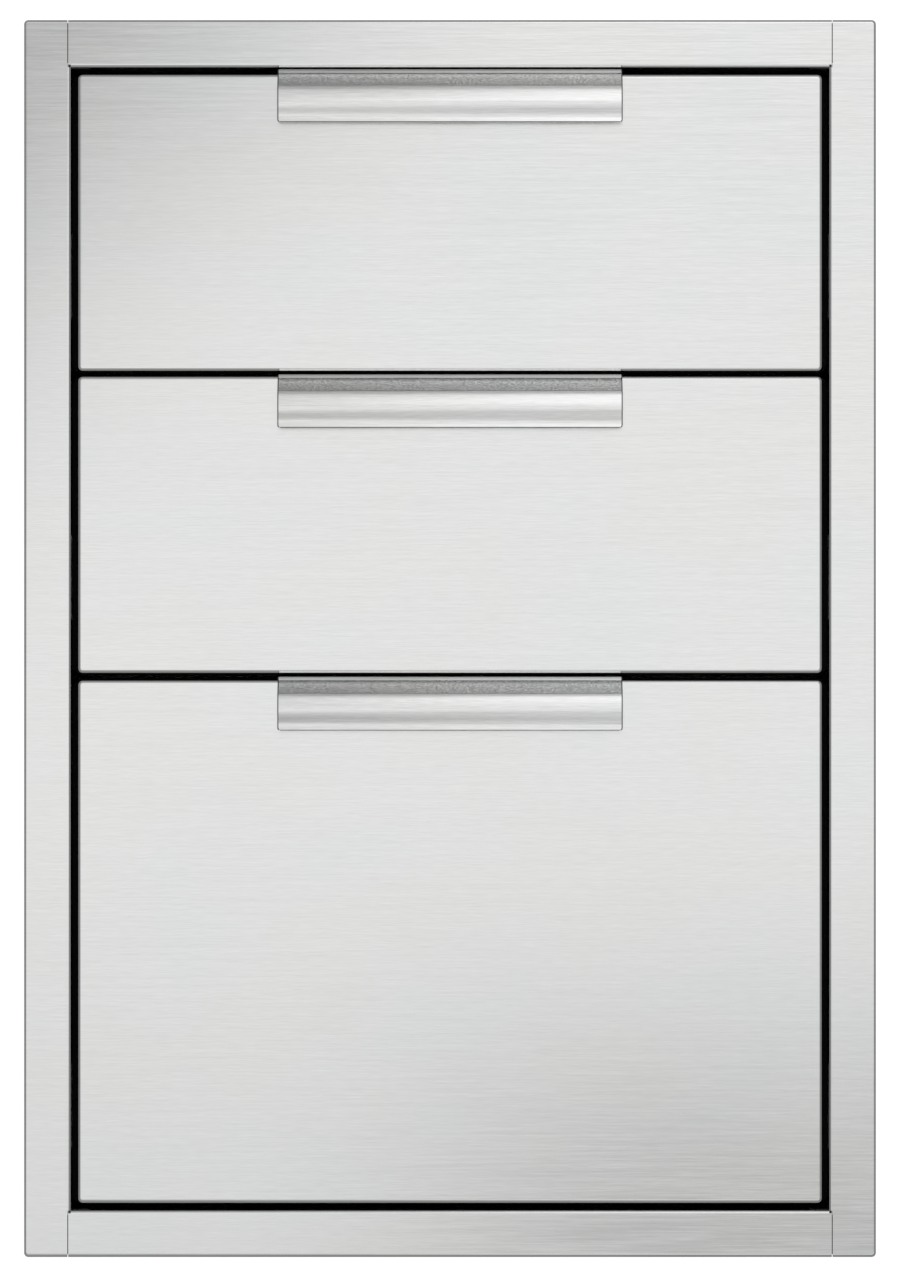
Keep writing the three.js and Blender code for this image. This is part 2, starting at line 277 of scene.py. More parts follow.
def bent_edge():
    """Insets from the sheet's outer edge and depths behind its face, from the flat to the side wall."""
    start = math.radians(BEND_LEAN)
    keys = [(BEND_ROUND * (1 - math.sin(start)), BEND_LEAN)] + list(BEND_LEANS)
    inset, lean = keys.pop()
    depth = 0
    points = [(inset, depth)]
    while keys:
        next_inset, next_lean = keys.pop()
        part = (inset - next_inset) / 2
        for share in (0.25, 0.75):
            depth += part * math.tan(math.radians(lean + (next_lean - lean) * share))
            inset -= part
            points.append((inset, depth))
        lean = next_lean
    for step in range(1, EDGE_STEPS + 1):
        turn = start + (math.pi / 2 - start) * step / EDGE_STEPS
        fall = BEND_ROUND * (math.cos(start) - math.cos(turn))
        points.append((BEND_ROUND * (1 - math.sin(turn)), depth + fall))
    return [(inset * MM, depth * MM) for inset, depth in points]


def add_sweep(bm, outline, near, rear):
    """A closed outline of x and z, made solid along Y."""
    add_rings(bm, [[Vector((x, y, z)) for x, z in outline] for y in (near, rear)])


def add_block(bm, low, high):
    outline = ((low[0], low[2]), (high[0], low[2]), (high[0], high[2]), (low[0], high[2]))
    add_sweep(bm, outline, low[1], high[1])


def offset_path(path, distance):
    """The path moved sideways, with mitred corners."""
    moved = []
    for place, point in enumerate(path):
        here = Vector(point)
        before = Vector(path[max(place - 1, 0)])
        after = Vector(path[min(place + 1, len(path) - 1)])
        into = (here - before).normalized() if place else (after - here).normalized()
        out = (after - here).normalized() if place < len(path) - 1 else into
        normal = Vector((-into.y - out.y, into.x + out.x)).normalized()
        stretch = distance / (normal.y * into.x - normal.x * into.y)
        moved.append((here.x + normal.x * stretch, here.y + normal.y * stretch))
    return moved


def sheet_outline(path, thickness):
    return list(path) + list(reversed(offset_path(path, thickness)))


def apply_modifiers(obj):
    graph = bpy.context.evaluated_depsgraph_get()
    made = bpy.data.meshes.new_from_object(obj.evaluated_get(graph))
    obj.modifiers.clear()
    obj.data = made
    return obj


def cut(obj, bm, operation="DIFFERENCE"):
    """Cuts with the closed bodies in bm."""
    cutter = object_from("cutter", bm)
    modifier = obj.modifiers.new("cut", "BOOLEAN")
    modifier.operation = operation
    modifier.solver = "EXACT"
    modifier.object = cutter
    apply_modifiers(obj)
    bpy.data.objects.remove(cutter)
    return smooth(obj)


def bevelled(obj, width=BURR, segments=2, angle=50):
    bevel = obj.modifiers.new("bevel", "BEVEL")
    bevel.width = width
    bevel.segments = segments
    bevel.limit_method = "ANGLE"
    bevel.angle_limit = math.radians(angle)
    bevel.harden_normals = True
    return obj


def dress(obj, material, body, slot, *nodes):
    """Gives a piece its material and its moving body, and hides the CAD nodes that it replaces. The slot is
    not used.
    """
    obj.data.materials.clear()
    obj.data.materials.append(material)
    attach(obj, body)
    if nodes:
        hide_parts(*nodes)
    return obj


# Shader nodes

def new_material(name):
    material = bpy.data.materials.new(name)
    material.use_nodes = True
    tree = material.node_tree
    return material, tree, tree.nodes["Principled BSDF"]


def fill(tree, socket, value):
    """Sets a socket to a number, or links it to another socket."""
    if isinstance(value, (int, float)):
        socket.default_value = value
    else:
        tree.links.new(value, socket)


def calc(tree, operation, one, two=0.0):
    node = tree.nodes.new("ShaderNodeMath")
    node.operation = operation
    fill(tree, node.inputs[0], one)
    fill(tree, node.inputs[1], two)
    return node.outputs[0]


def product(tree, first, *others):
    for other in others:
        first = calc(tree, "MULTIPLY", first, other)
    return first


def total(tree, first, *others):
    for other in others:
        first = calc(tree, "ADD", first, other)
    return first


def less(tree, first, *others):
    for other in others:
        first = calc(tree, "SUBTRACT", first, other)
    return first


def mixed(tree, share, one, two):
    """From one to two as the share goes from 0 to 1."""
    return total(tree, product(tree, one, less(tree, 1.0, share)), product(tree, two, share))


def spread(tree, value, from_low, from_high, low, high, easing="LINEAR"):
    node = tree.nodes.new("ShaderNodeMapRange")
    node.interpolation_type = easing
    node.inputs["From Min"].default_value = from_low
    node.inputs["From Max"].default_value = from_high
    node.inputs["To Min"].default_value = low
    node.inputs["To Max"].default_value = high
    tree.links.new(value, node.inputs["Value"])
    return node.outputs[0]


def ramp(tree, value, from_low, from_high, low=0.0, high=1.0):
    """A smooth step from low, where the value is from_low, to high, where it is from_high."""
    return spread(tree, value, from_low, from_high, low, high, "SMOOTHSTEP")


def parts_of(tree, vector):
    node = tree.nodes.new("ShaderNodeSeparateXYZ")
    tree.links.new(vector, node.inputs[0])
    return node.outputs


def noise(tree, stretch, detail=2):
    """Noise over the object's own place, in features per metre along each axis."""
    place = tree.nodes.new("ShaderNodeTexCoord")
    mapping = tree.nodes.new("ShaderNodeMapping")
    mapping.inputs["Scale"].default_value = stretch
    texture = tree.nodes.new("ShaderNodeTexNoise")
    texture.inputs["Scale"].default_value = 1
    texture.inputs["Detail"].default_value = detail
    tree.links.new(place.outputs["Object"], mapping.inputs["Vector"])
    tree.links.new(mapping.outputs["Vector"], texture.inputs["Vector"])
    return texture.outputs["Fac"]


def wander(tree, value, middle, reach):
    """Noise, most of which lies between 0.3 and 0.7, as a number about a middle."""
    return spread(tree, value, 0.3, 0.7, middle - reach, middle + reach)


# Materials

# Brushing, in features per metre along and across its lines
DASHES = (110, 1900)
STROKES = (26, 1300)
BANDS = (9, 300)
CLOUD = (5, 5, 5)
TINT = (9, 9, 14)
GRAIN = (900, 900, 1700)
RUBBER_SPECKS = (900, 900, 900)
COOL = (0.988, 1, 1.008)
WARM = (1.010, 1, 0.988)


def lines_along(axis, length, fineness):
    """Noise scales of a brushing whose lines run along X or Y."""
    return (length, length, fineness) if axis == "x" else (fineness, length, fineness)


def tinted(colour, tint):
    return [one * two for one, two in zip(colour, tint)] + [1]


def relief(tree, shader, height, strength, distance):
    bump = tree.nodes.new("ShaderNodeBump")
    bump.inputs["Strength"].default_value = strength
    bump.inputs["Distance"].default_value = distance
    tree.links.new(height, bump.inputs["Height"])
    tree.links.new(bump.outputs[0], shader.inputs["Normal"])


def brushed(name, colour, roughness, contrast, axis="x", grain=0.0, aniso=0.6):
    """Brushed sheet: streaks in tone, roughness and relief, faint clouds, and on some a coarse grain."""
    material, tree, shader = new_material(name)
    dashes = noise(tree, lines_along(axis, *DASHES))
    strokes = noise(tree, lines_along(axis, *STROKES))
    bands = noise(tree, lines_along(axis, *BANDS), 3)
    cloud = noise(tree, CLOUD, 3)
    tone = product(tree, wander(tree, dashes, 1, contrast), wander(tree, strokes, 1, contrast * 0.9),
                   wander(tree, bands, 1, contrast * 0.3), wander(tree, cloud, 1, 0.006))
    if grain:
        tone = product(tree, tone, wander(tree, noise(tree, GRAIN), 1, grain))
    tint = tree.nodes.new("ShaderNodeMix")
    tint.data_type = "RGBA"
    tint.inputs["A"].default_value = tinted(colour, COOL)
    tint.inputs["B"].default_value = tinted(colour, WARM)
    tree.links.new(wander(tree, noise(tree, TINT), 0.5, 0.5), tint.inputs["Factor"])
    toned = tree.nodes.new("ShaderNodeVectorMath")
    toned.operation = "SCALE"
    tree.links.new(tint.outputs["Result"], toned.inputs[0])
    tree.links.new(tone, toned.inputs["Scale"])
    tree.links.new(toned.outputs[0], shader.inputs["Base Color"])
    tree.links.new(wander(tree, strokes, roughness, 0.03), shader.inputs["Roughness"])
    shader.inputs["Metallic"].default_value = 1
    shader.inputs["Anisotropic"].default_value = aniso
    shader.inputs["Anisotropic Rotation"].default_value = 0.25
    along = tree.nodes.new("ShaderNodeCombineXYZ")
    along.inputs["X"].default_value = 1 if axis == "x" else 0.02
    along.inputs["Y"].default_value = 0.02 if axis == "x" else 1
    tree.links.new(along.outputs[0], shader.inputs["Tangent"])
    relief(tree, shader, strokes, 0.2, 0.02 * MM)
    return material


def rubber():
    material, tree, shader = new_material("rubber_black_and_seam_shade")
    speck = noise(tree, RUBBER_SPECKS, 3)
    tone = wander(tree, speck, 0.008, 0.004)
    colour = tree.nodes.new("ShaderNodeCombineColor")
    for channel in ("Red", "Green", "Blue"):
        tree.links.new(tone, colour.inputs[channel])
    tree.links.new(colour.outputs[0], shader.inputs["Base Color"])
    tree.links.new(wander(tree, speck, 0.85, 0.08), shader.inputs["Roughness"])
    shader.inputs["Specular IOR Level"].default_value = 0.15
    relief(tree, shader, speck, 0.4, 0.05 * MM)
    return material


FACE_STEEL = brushed("steel_face", (0.80, 0.805, 0.80), 0.14, 0.030)
HANDLE_STEEL = brushed("steel_handle", (0.80, 0.805, 0.80), 0.22, 0.045)
HANDLE_TOP_STEEL = brushed("steel_handle_top", (0.80, 0.805, 0.80), 0.22, 0.060, grain=0.32)
BOX_STEEL = brushed("steel_box", (0.62, 0.63, 0.63), 0.36, 0.03, axis="y")
BACK_STEEL = brushed("steel_back", (0.62, 0.63, 0.63), 0.36, 0.03)
TRAY_STEEL = brushed("steel_tray", (0.68, 0.69, 0.69), 0.32, 0.03, axis="y")
SLIDE_STEEL = brushed("steel_slide", (0.56, 0.58, 0.61), 0.30, 0.02, axis="y")
CAGE_STEEL = brushed("steel_cage", (0.40, 0.41, 0.43), 0.34, 0.02, axis="y")
BALL_STEEL = brushed("steel_ball", (0.72, 0.73, 0.75), 0.10, 0.01, aniso=0.0)
SCREW_STEEL = brushed("steel_screw", (0.60, 0.61, 0.62), 0.26, 0.02)
# Dark steel for the handle's chamfers and bottom edge: a painted shade outline, not a colour of the cut
# steel.
OUTLINE_SHADE_STEEL = brushed("steel_painted_outline_shade", (0.15, 0.15, 0.15), 0.40, 0.02)
# Black rubber for the drawer seals; the same black is painted shade in the frame's seams.
RUBBER_AND_SEAM_SHADE = rubber()


# Face frame

def frame_shell(name):
    """The whole frame as one folded shell, a closed ring of rings."""
    def outer(inset, y, stretch=1):
        low = FRAME_LOW + inset * stretch
        return upright_ring(FRAME_HALF - inset, low, FRAME_HIGH - inset, CORNER_RADIUS - inset, y)

    def inner(outset, y, stretch=1):
        high = OPENING_HIGH + outset * stretch
        return upright_ring(OPENING_HALF + outset, OPENING_LOW - outset, high, 0, y)

    edge = bent_edge()
    rings = [outer(inset, FACE_Y + depth, LOWER_STRETCH) for inset, depth in edge]
    rings += [outer(0, 0), outer(SHEET + REAR_LIP, 0), outer(SHEET + REAR_LIP, -SHEET), outer(SHEET, -SHEET)]
    rings += [outer(SHEET, FACE_Y + SHEET), inner(SHEET, FACE_Y + SHEET), inner(SHEET, 0), inner(0, 0)]
    rings += [inner(inset, FACE_Y + depth, LOWER_STRETCH) for inset, depth in reversed(edge)]
    return rings_piece(name, rings, closed=True)


def frame_part(name, outline):
    bm = bmesh.new()
    add_sweep(bm, outline, -FAR, FAR)
    obj = cut(frame_shell(f"fine_{name}"), bm, "INTERSECT")
    bevelled(obj, SEAM_ROUNDING)
    dress(obj, FACE_STEEL, "cabinet", "brushed_steel", name)


def face_frame():
    """Two stiles and two rails cut from one shell, with a notch at each corner of the opening."""
    stile_edge = SEAM_X + SEAM_GAP / 2
    rail_edge = SEAM_X - SEAM_GAP / 2
    jamb = OPENING_HALF - TINY
    low, high = OPENING_LOW, OPENING_HIGH
    for side, sign in SIDES.items():
        outline = ((FAR, -FAR), (stile_edge, -FAR), (stile_edge, low), (jamb, low),
                   (jamb, high), (stile_edge, high), (stile_edge, FAR), (FAR, FAR))
        frame_part(f"{side}_stile", [(sign * x, z) for x, z in outline])
    for name, sign, edge in (("bottom_rail", -1, low), ("top_rail", 1, high)):
        inner = edge - sign * TINY
        notch = edge + sign * SEAM_INSET
        half = ((rail_edge, sign * FAR), (rail_edge, notch), (OPENING_HALF, notch), (OPENING_HALF, inner))
        frame_part(name, [(-x, z) for x, z in half] + list(reversed(half)))


def rounded_plate(name, low, high, rounding):
    """A flat plate across Y with round corners and edges."""
    rings = []
    for inset, y in ((rounding, low.y), (0, low.y + rounding), (0, high.y - rounding), (rounding, high.y)):
        points = rounded(low.x + inset, high.x - inset, low.z + inset, high.z - inset, CORNER_RADIUS - inset)
        rings.append([Vector((x, y, z)) for x, z in points])
    return rings_piece(name, rings)


def seam_backing():
    """A plate behind each seam, which joins the rails to the stiles, and a black strip in front of it that
    paints shade into the seam.
    """
    places = (("top", OPENING_HIGH + SHEET, FRAME_HIGH - SHEET),
              ("bottom", FRAME_LOW + SHEET, OPENING_LOW - SHEET))
    shade_strip_y = FACE_Y + SHEET + TINY
    plate_y = shade_strip_y + SEAM_SHADE_THICKNESS + TINY
    for end, low, high in places:
        low, high = low + PLATE_PLAY, high - PLATE_PLAY
        for side, sign in SIDES.items():
            x = sign * SEAM_X
            # Black strip behind the seam gap: painted shade, so that the seam reads dark.
            shade_strip = rounded_plate(f"seam_shade_strip_{end}_{side}", Vector((x - SEAM_SHADE_REACH, shade_strip_y, low)),
                                 Vector((x + SEAM_SHADE_REACH, shade_strip_y + SEAM_SHADE_THICKNESS, high)), TINY)
            dress(shade_strip, RUBBER_AND_SEAM_SHADE, "cabinet", "rubber")
            plate = rounded_plate(f"seam_plate_{end}_{side}", Vector((x - PLATE_REACH, plate_y, low)),
                                  Vector((x + PLATE_REACH, plate_y + SHEET, high)), BURR)
            dress(plate, BACK_STEEL, "cabinet", "box_steel")


# Drawer fronts with their liners and seals

def front_skin(number):
    """The visible pan of a drawer front, with bent edges."""
    low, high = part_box(f"front_skin_{number}")

    def ring(inset, y, stretch=1):
        return upright_ring(high.x - inset, low.z + inset * stretch, high.z - inset, CORNER_RADIUS - inset, y)

    rings = [ring(inset, low.y + depth, LOWER_STRETCH) for inset, depth in bent_edge()]
    rings += [ring(0, high.y), ring(SHEET, high.y), ring(SHEET, low.y + SHEET)]
    obj = rings_piece(f"fine_front_skin_{number}", rings)
    dress(obj, FACE_STEEL, f"drawer_{number}", "brushed_steel", f"front_skin_{number}")


def front_liner(number):
    """A pan set into the front's back, with a round bend all along its edge."""
    low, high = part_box(f"front_skin_{number}")

    def ring(inset, y):
        return upright_ring(high.x - inset, low.z + inset, high.z - inset, CORNER_RADIUS - inset / 2, y)

    edge = LINER_PLAY
    rings = [ring(edge + SHEET, -SHEET), ring(edge + SHEET, -LINER_RIM), ring(edge, -LINER_RIM)]
    for step in range(BEND_STEPS + 1):
        turn = math.radians(90 * step / BEND_STEPS)
        rings.append(ring(edge + BEND_RADIUS * (1 - math.cos(turn)), -BEND_RADIUS * (1 - math.sin(turn))))
    rings.append(ring(edge + BEND_RADIUS + SUPPORT, 0))
    obj = rings_piece(f"fine_front_liner_{number}", rings)
    dress(obj, BACK_STEEL, f"drawer_{number}", "box_steel", f"front_liner_{number}")


def seal(number):
    """A rubber strip with a bulb along its outer edge, all round the front's back."""
    low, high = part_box(f"front_skin_{number}")
    middle = SEAL_SIDE_REACH - SEAL_BULB
    section = [(SEAL_INNER, TINY), (middle, TINY)]
    for step in range(2 * EDGE_STEPS + 1):
        turn = math.radians(SEAL_ARC_START + SEAL_ARC * step / (2 * EDGE_STEPS))
        section.append((middle + SEAL_BULB * math.cos(turn), SEAL_MIDDLE + SEAL_BULB * math.sin(turn)))
    section += [(middle - 2 * SEAL_BULB, SEAL_WEB), (SEAL_INNER, SEAL_WEB)]
    lost = SEAL_SIDE_REACH - SEAL_END_REACH
    rings = []
    for reach, y in section:
        end = reach - lost
        corner = SEAL_CORNER + reach
        rings.append(upright_ring(high.x + reach, low.z - end, high.z + end, corner, y))
    obj = rings_piece(f"fine_seal_{number}", rings, closed=True)
    dress(obj, RUBBER_AND_SEAM_SHADE, f"drawer_{number}", "rubber", f"seal_{number}")


# Handles

def leaning_path(keys, reach):
    """Points of a surface from its lean at given drops, starting at a reach in front of the face."""
    points = [(reach, keys[0][0])]
    for (drop, lean), (next_drop, next_lean) in zip(keys, keys[1:]):
        part = (next_drop - drop) / HANDLE_STEPS
        for step in range(HANDLE_STEPS):
            middle = lean + (next_lean - lean) * (step + 0.5) / HANDLE_STEPS
            reach += part * math.tan(math.radians(middle))
            points.append((reach, drop + part * (step + 1)))
    return points


def handle_section(rise):
    """Outer points of the strip and the inner point that belongs to each."""
    flange = [(reach, rise - HANDLE_SHEET) for reach in HANDLE_FLANGE] + [(HANDLE_CREST, 0)]
    hood = leaning_path(HANDLE_HOOD, HANDLE_TOP_REACH)
    slope = leaning_path(HANDLE_SLOPE, hood[-1][0] - HANDLE_UNDERCUT)
    slope_inside = offset_path(slope, HANDLE_SHEET)
    slope_inside[-1] = (slope[-1][0] - HANDLE_SHEET, slope[-1][1])
    corner = Vector((HANDLE_HOOD_INSIDE, HANDLE_SHEET))
    end = Vector(slope_inside[0])
    hood_inside = [tuple(corner.lerp(end, place / len(hood))) for place in range(len(hood))]
    flange_inside = offset_path(flange + [(0, 0)], HANDLE_SHEET)[:-1]
    return flange + hood + slope, flange_inside + hood_inside + slope_inside


def handle(number):
    """A folded strip with chamfered sides, whose chamfers, bottom edge and lower corners are painted dark as
    a shade outline, and whose flat top has its own material.
    """
    low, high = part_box(f"handle_{number}")
    height = high.z - low.z
    rise = (high.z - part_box(f"front_skin_{number}")[1].z) / MM
    rings = []
    for outer, inner in zip(*handle_section(rise)):
        left = max(height - outer[1] * MM, 0)
        half = high.x
        if left < HANDLE_CORNER:
            half -= HANDLE_CORNER - math.sqrt(HANDLE_CORNER ** 2 - (HANDLE_CORNER - left) ** 2)
        middle = half - HANDLE_CHAMFER
        edge = Vector(outer).lerp(Vector(inner), HANDLE_CHAMFER / MM / HANDLE_SHEET)
        corners = ((-middle, outer), (middle, outer), (half, edge),
                   (half, inner), (-half, inner), (-half, edge))
        rings.append([Vector((x, FACE_Y - reach * MM, high.z - drop * MM)) for x, (reach, drop) in corners])
    obj = rings_piece(f"fine_handle_{number}", rings)
    dress(obj, HANDLE_STEEL, f"drawer_{number}", "brushed_steel", f"handle_{number}")
    obj.data.materials.append(OUTLINE_SHADE_STEEL)
    obj.data.materials.append(HANDLE_TOP_STEEL)
    # The chamfers, the bottom band and the lower corners get the dark painted-shade outline steel; faces that
    # face up get the top steel.
    for face in obj.data.polygons:
        aside, above = high.x - abs(face.center.x), face.center.z - low.z
        round_off = HANDLE_CORNER - math.hypot(HANDLE_CORNER - aside, HANDLE_CORNER - above)
        in_corner = max(aside, above) < HANDLE_CORNER and round_off < HANDLE_FOOT
        if aside < HANDLE_CHAMFER or above < HANDLE_FOOT or in_corner:
            face.material_index = 1
        elif face.normal.z > HANDLE_TOP_LEAN:
            face.material_index = 2


# Trays

def tray(number):
    """A folded tray with round bends and a rolled hem, open at the rear."""
    low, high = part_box(f"tray_{number}")

    def ring(inset, z):
        return flat_ring(high.x - inset, low.y + inset, high.y + FAR, TRAY_CORNER - inset, z)

    outside, inside = TRAY_BEND, TRAY_BEND - TRAY_SHEET
    turns = [math.radians(90 * step / BEND_STEPS) for step in range(BEND_STEPS + 1)]
    roll = HEM / 2
    rings = [ring(outside + SUPPORT, low.z)]
    rings += [ring(outside * (1 - math.sin(turn)), low.z + outside * (1 - math.cos(turn))) for turn in turns]
    for turn in turns + [turn + math.pi / 2 for turn in turns[1:]]:
        rings.append(ring(roll * (1 - math.cos(turn)), high.z - roll * (1 - math.sin(turn))))
    rings += [ring(HEM, high.z - HEM_HEIGHT), ring(TRAY_SHEET, high.z - HEM_HEIGHT)]
    for turn in reversed(turns):
        rings.append(ring(outside - inside * math.sin(turn), low.z + outside - inside * math.cos(turn)))
    rings.append(ring(outside + SUPPORT, low.z + TRAY_SHEET))
    obj = rings_piece(f"fine_tray_{number}", rings)
    bm = bmesh.new()
    add_block(bm, (-FAR, high.y, -FAR), (FAR, 3 * FAR, 2 * FAR))
    dress(cut(obj, bm), TRAY_STEEL, f"drawer_{number}", "box_steel", f"tray_{number}")


def tray_back(number):
    """The tray's rear wall, with a rolled top and two flanges that lie on the side walls."""
    low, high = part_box(f"tray_{number}")
    wall = high.x - TRAY_SHEET - TINY
    hem_x = high.x - HEM - TINY
    floor = low.z + TRAY_SHEET + TINY
    step = high.z - HEM_HEIGHT - TINY
    rear = high.y
    half = ((wall, floor), (wall, step), (hem_x, step), (hem_x, high.z - HEM / 2))
    bm = bmesh.new()
    add_sweep(bm, [(x, z) for x, z in half] + [(-x, z) for x, z in reversed(half)], rear - TRAY_SHEET, rear)
    for sign in SIDES.values():
        xs = sorted((sign * wall, sign * (wall - TRAY_SHEET)))
        add_block(bm, (xs[0], rear - BACK_FLANGE, floor + HEM), (xs[1], rear - TRAY_SHEET, step - HEM))
    roll = []
    radius = HEM / 2
    for turn in range(2 * BEND_STEPS + 1):
        angle = math.pi * turn / (2 * BEND_STEPS)
        roll.append((rear - radius + radius * math.cos(angle), high.z - radius + radius * math.sin(angle)))
    roll += [(rear - HEM, step), (rear, step)]
    add_rings(bm, [[Vector((x, y, z)) for y, z in roll] for x in (-hem_x, hem_x)])
    obj = bevelled(object_from(f"fine_tray_back_{number}", bm))
    dress(obj, TRAY_STEEL, f"drawer_{number}", "box_steel", f"tray_back_{number}")


# Box

def bead_path(half, level, rise):
    """A line across the box, from -half to half, that rises in a round bead at each place."""
    points = [(-half, level)]
    for middle in BEAD_PLACES:
        for step in range(2 * BEND_STEPS + 1):
            share = step / (2 * BEND_STEPS)
            height = rise * math.sin(math.pi * share) ** 2
            points.append((middle + BEAD_HALF * (2 * share - 1), level + height))
    points.append((half, level))
    return points


def flat_panel(name, sign):
    """The box's floor or ceiling, stiffened by long beads pressed inwards."""
    low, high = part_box(name)
    level = low.z if sign > 0 else high.z
    ends = []
    for step in range(BEND_STEPS + 1):
        share = step / BEND_STEPS
        ends.append((BEAD_MARGIN + BEAD_HALF * share, math.sin(math.pi * share / 2) ** 2))
    places = [(low.y, 0)] + [(place, share) for place, share in ends]
    places += [(high.y - place, share) for place, share in reversed(ends)] + [(high.y, 0)]
    rings = []
    for y, share in places:
        outline = sheet_outline(bead_path(high.x, level, sign * BEAD_RISE * share), sign * SHEET)
        rings.append([Vector((x, y, z)) for x, z in outline])
    obj = bevelled(rings_piece(f"fine_{name}", rings))
    dress(obj, BOX_STEEL, "cabinet", "box_steel", name)


def add_disc(bm, place, radius, x_reach, sides=24):
    """A round cutter or pin along X."""
    rings = []
    for offset in (-x_reach, x_reach):
        ring = []
        for step in range(sides):
            angle = 2 * math.pi * step / sides
            ring.append(Vector(place) + Vector((offset, radius * math.cos(angle), radius * math.sin(angle))))
        rings.append(ring)
    add_rings(bm, rings)


def side_panel(side, sign):
    """A side of the box, folded inwards along its top and bottom behind the frame."""
    low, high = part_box(f"{side}_side")
    x = high.x if sign > 0 else -low.x
    half = []
    for turn in range(BEND_STEPS + 1):
        angle = math.radians(90 * turn / BEND_STEPS)
        inset = BEND_RADIUS * (1 - math.cos(angle)), BEND_RADIUS * (1 - math.sin(angle))
        half.append((x - inset[0], high.z - inset[1]))
    half.append((x - PANEL_FLANGE, high.z))
    middle = (low.z + high.z) / 2
    path = [(px, 2 * middle - pz) for px, pz in reversed(half)] + half
    bm = bmesh.new()
    outline = [(sign * px, pz) for px, pz in sheet_outline(path, SHEET)]
    add_sweep(bm, outline, low.y, high.y)
    obj = object_from(f"fine_{side}_side", bm)
    bm = bmesh.new()
    xs = sorted((sign * (x - SHEET), sign * (x - 2 * PANEL_FLANGE)))
    for z in ((low.z - FAR, low.z + SHEET + TINY), (high.z - SHEET - TINY, high.z + FAR)):
        add_block(bm, (xs[0], low.y - FAR, z[0]), (xs[1], SHEET, z[1]))
        add_block(bm, (xs[0], high.y - PANEL_FLANGE - SHEET, z[0]), (xs[1], high.y + FAR, z[1]))
    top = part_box("ceiling_panel")[1].z
    for share in HOLE_SHARES:
        add_disc(bm, (sign * (x - SHEET / 2), HOLE_Y, top * share), HOLE_RADIUS, 2 * SHEET)
    bevelled(cut(obj, bm))
    dress(obj, BOX_STEEL, "cabinet", "box_steel", f"{side}_side")


def back_panel():
    """The box's back, with flanges to the front and a pressed field."""
    low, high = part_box("back_panel")

    def ring(inset, y):
        return upright_ring(high.x - inset, low.z + inset, high.z - inset, CORNER_RADIUS - inset, y)

    flange = high.y - PANEL_FLANGE
    turns = [math.radians(90 * step / BEND_STEPS) for step in range(BEND_STEPS + 1)]
    rings = [ring(BACK_INSET + BACK_RECESS + SUPPORT, high.y - BACK_RECESS - SHEET)]
    rings += [ring(BACK_INSET + BACK_RECESS, high.y - BACK_RECESS - SHEET), ring(BACK_INSET, high.y - SHEET)]
    rings += [ring(SHEET, high.y - SHEET), ring(SHEET, flange), ring(0, flange)]
    for turn in turns:
        rings.append(ring(BEND_RADIUS * (1 - math.cos(turn)), high.y - BEND_RADIUS * (1 - math.sin(turn))))
    rings += [ring(BACK_INSET, high.y), ring(BACK_INSET + BACK_RECESS, high.y - BACK_RECESS)]
    rings.append(ring(BACK_INSET + BACK_RECESS + SUPPORT, high.y - BACK_RECESS))
    obj = rings_piece("fine_back_panel", rings)
    dress(obj, BACK_STEEL, "cabinet", "box_steel", "back_panel")


# Fasteners

def add_turned(bm, place, axis, profile, sides=20):
    """A closed turned body: profile holds pairs of radius and height along the axis."""
    turn = Vector((0, 0, 1)).rotation_difference(Vector(axis)).to_matrix()
    rings = []
    for radius, height in profile:
        ring = []
        for step in range(sides):
            angle = 2 * math.pi * step / sides
            point = Vector((radius * math.cos(angle), radius * math.sin(angle), height))
            ring.append(Vector(place) + turn @ point)
        rings.append(ring)
    add_rings(bm, rings)


# Profiles of turned heads, as pairs of radius and height
RIVET_HEAD = [(radius * MM, height * MM) for radius, height in (
    (3.4, -0.3), (3.4, 0.25), (3.0, 0.8), (2.2, 1.15), (1.1, 1.35), (0.5, 1.4))]
SCREW_HEAD = [(radius * MM, height * MM) for radius, height in (
    (3.5, -0.3), (3.5, 0.7), (3.2, 1.35), (2.6, 1.8), (1.9, 2.0), (1.35, 2.05), (1.25, 0.9), (0.6, 0.7))]
SPOT_WELD = [(WELD_RADIUS * radius, WELD_RISE * height) for radius, height in (
    (1, -1), (1, 0.15), (0.85, 0.7), (0.6, 1), (0.4, 0.8), (0.2, 0.7))]


def box_fasteners():
    """Rivets that hold the slides, and spot welds along the edges of the box."""
    rivets, welds = bmesh.new(), bmesh.new()
    low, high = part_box("right_side")
    for sign in SIDES.values():
        axis = (sign, 0, 0)
        for number in DRAWERS:
            slide_low, slide_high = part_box(f"slide_cabinet_{number}_right")
            z = (slide_low.z + slide_high.z) / 2
            for y in SCREW_Y:
                add_turned(rivets, (sign * high.x, y, z), axis, RIVET_HEAD)
        for z in weld_places(low.z, high.z):
            add_turned(welds, (sign * high.x, high.y - WELD_EDGE, z), axis, SPOT_WELD)
        for z, face in ((0.0, -1), (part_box("ceiling_panel")[1].z, 1)):
            for y in weld_places(WELD_START_Y, high.y):
                add_turned(welds, (sign * (high.x - WELD_EDGE), y, z), (0, 0, face), SPOT_WELD)
    dress(object_from("box_rivets", rivets), SCREW_STEEL, "cabinet", "slide_steel")
    dress(object_from("box_welds", welds), BOX_STEEL, "cabinet", "box_steel")


def weld_places(low, high):
    count = round((high - low) / WELD_PITCH)
    return [low + (high - low) * (place + 0.5) / count for place in range(count)]


